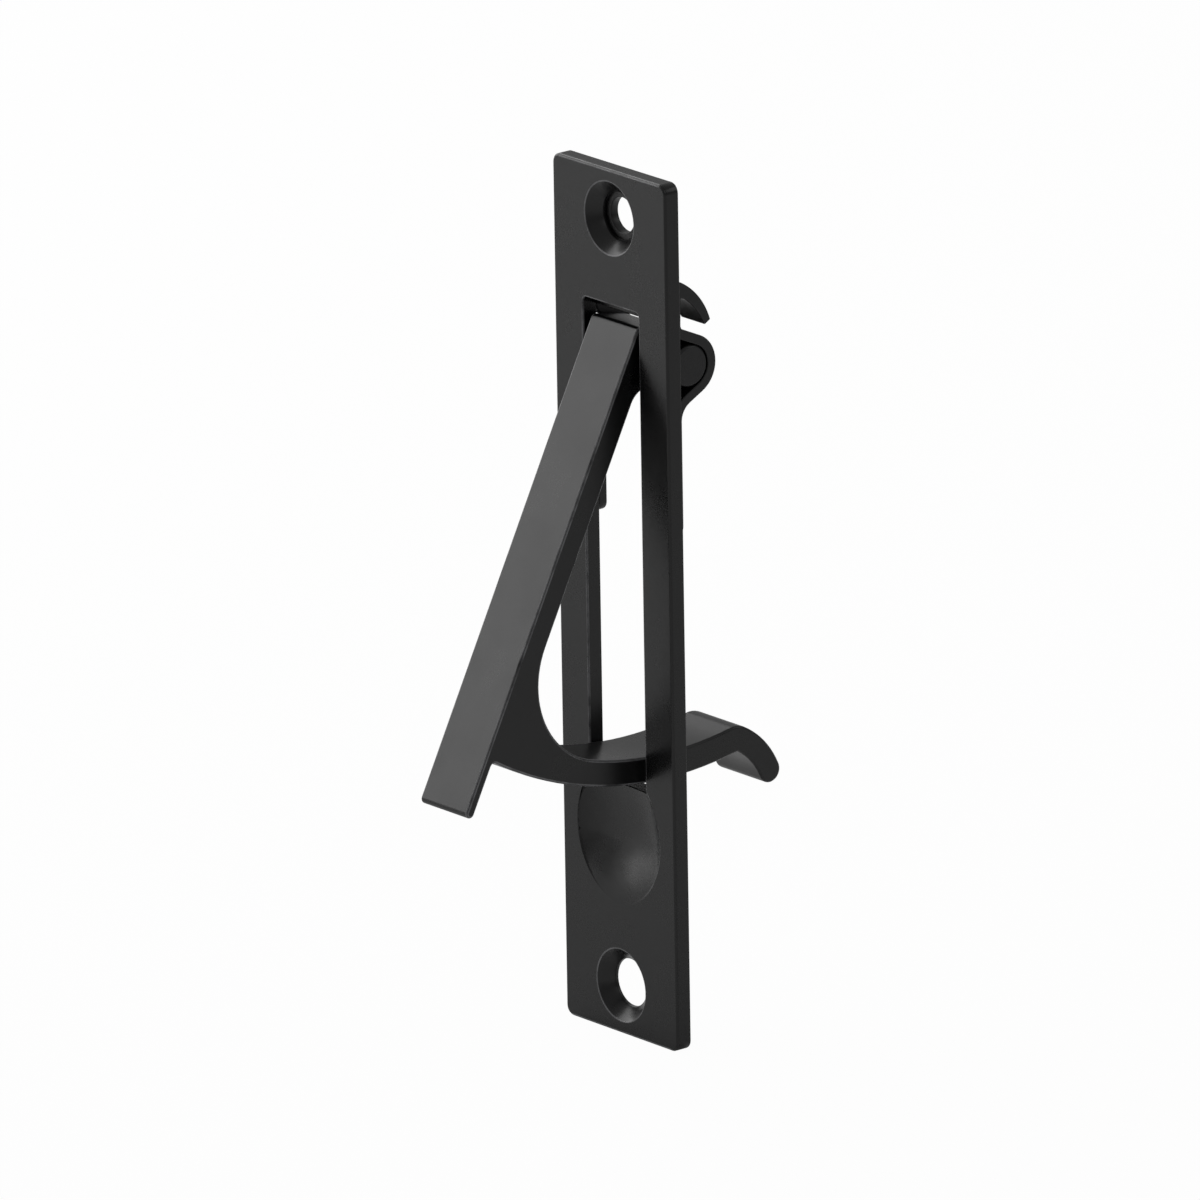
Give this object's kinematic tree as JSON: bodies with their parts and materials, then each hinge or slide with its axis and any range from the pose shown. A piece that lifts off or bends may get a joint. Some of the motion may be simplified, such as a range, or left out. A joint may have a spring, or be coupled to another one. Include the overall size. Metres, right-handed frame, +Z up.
{
  "type": "pocket door pull",
  "caption": "Edge pull for a pocket door: a slotted face plate with countersunk screw holes and a swing-out hooked lever on a cross pin.",
  "frame": {"origin": "centre of the face plate's back face, midway between the two screw holes", "axes": "+Z up along the plate's length, +Y into the door, +X across the plate to the right as seen from the front"},
  "size_m": [0.019, 0.0443, 0.0984],
  "materials": {
    "plate_black": "matte black",
    "strap_black": "matte black",
    "pin_black": "satin black",
    "lever_black": "satin black"
  },
  "bodies": {
    "plate": {"face_plate": "plate_black", "hinge_strap": "strap_black"},
    "lever": {"pull_lever": "lever_black", "pivot_pin": "pin_black"}
  },
  "joints": [
    {"name": "lever_hinge", "type": "hinge", "parent": "plate", "child": "lever", "pos_m": [0, 0.00243, 0.0279], "axis": [-1, 0, 0], "range_deg": [-26.8, 13.6]}
  ]
}
